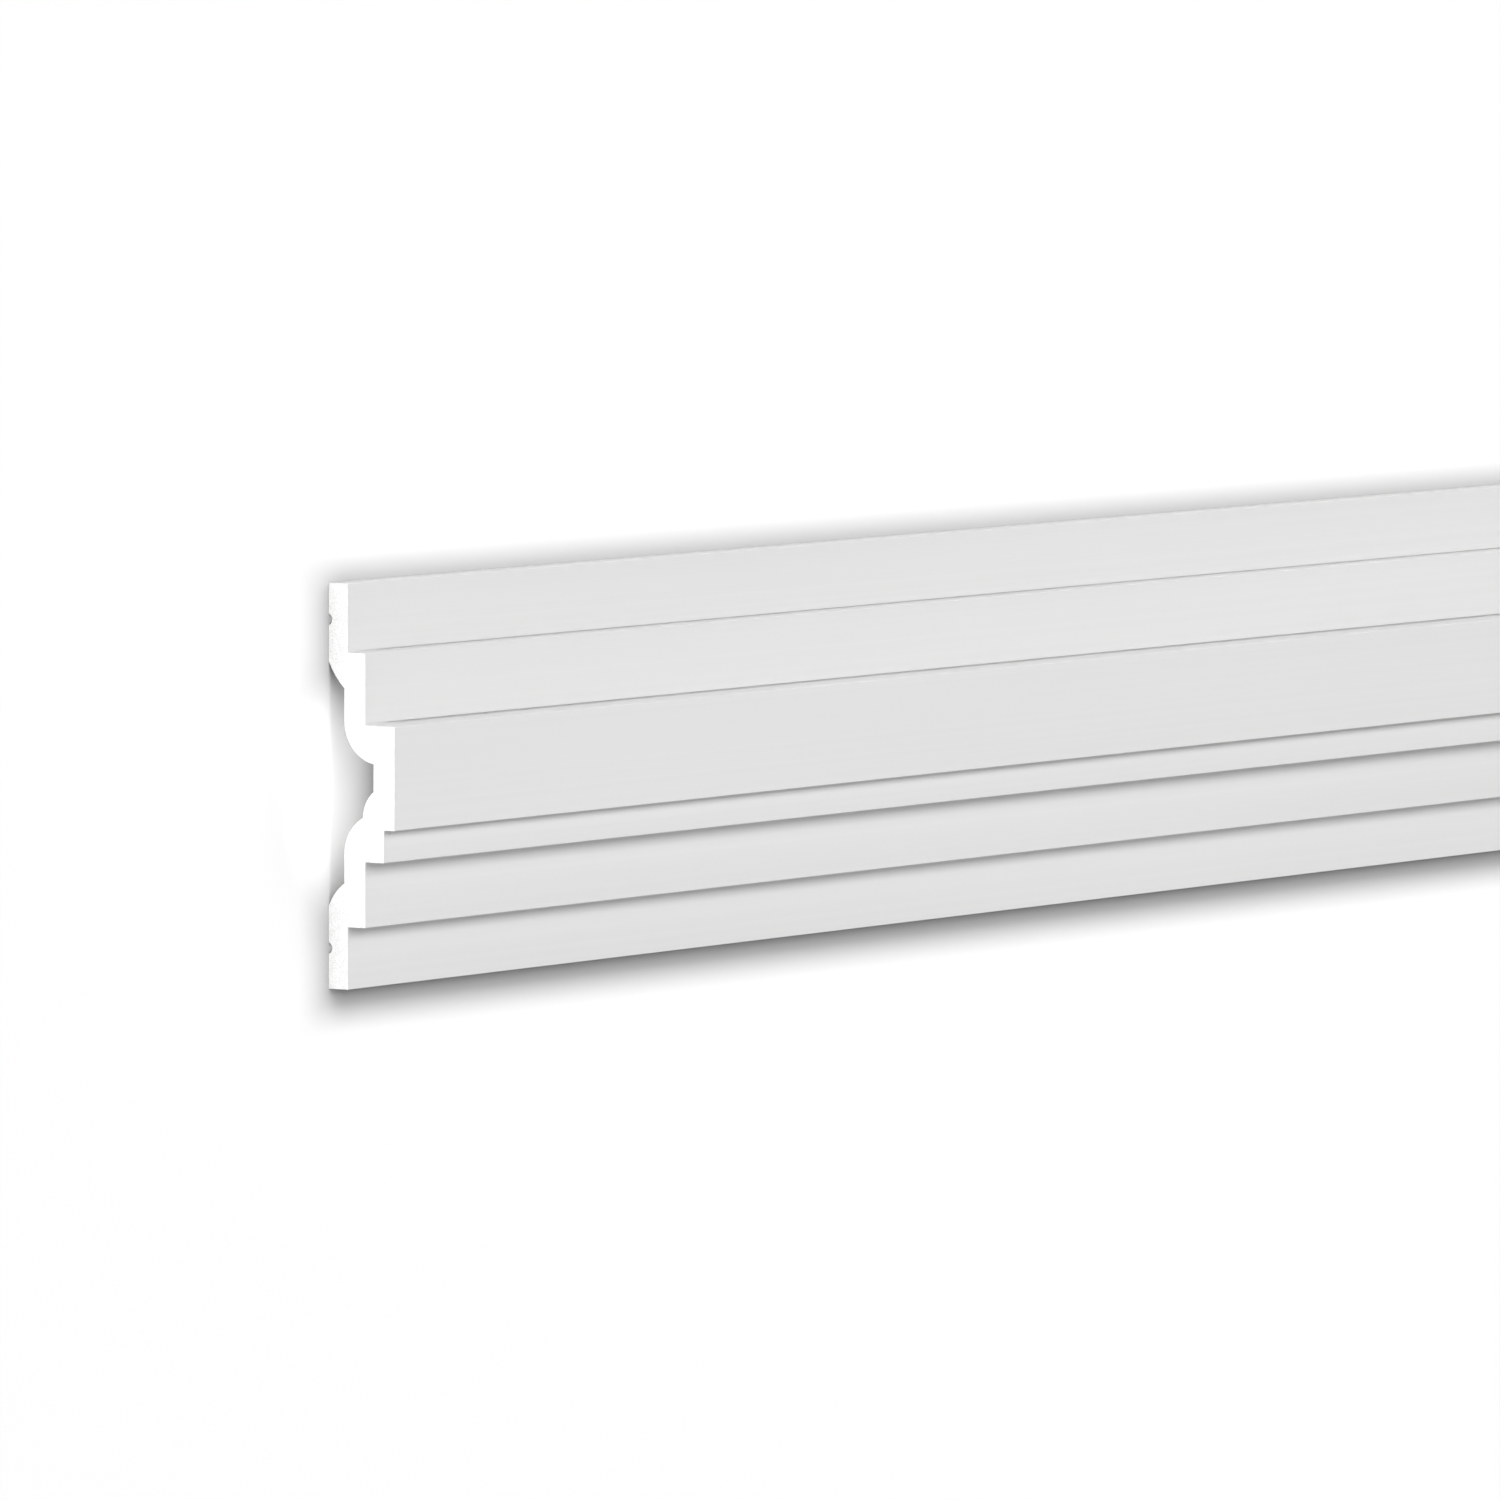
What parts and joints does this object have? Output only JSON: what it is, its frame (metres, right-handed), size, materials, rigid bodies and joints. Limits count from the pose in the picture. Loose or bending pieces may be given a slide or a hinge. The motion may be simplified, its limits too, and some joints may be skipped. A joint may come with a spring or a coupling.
{
  "type": "dado rail",
  "caption": "Straight length of stepped dado rail in white moulded foam, hollow behind with a glue groove in each back land, fixed flat to a wall as trim.",
  "frame": {"origin": "in the plane of the back, half way along the rail and half way up its section, so the rail lies on its back on a level floor", "axes": "+X along the rail, +Y up the wall that it is fixed to, towards the wider top strip, +Z out from that wall"},
  "size_m": [2, 0.1, 0.02],
  "materials": {
    "primed_foam": "matt white primer on a rigid foam moulding"
  },
  "bodies": {
    "root": {"dado_rail": "primed_foam"}
  },
  "joints": []
}
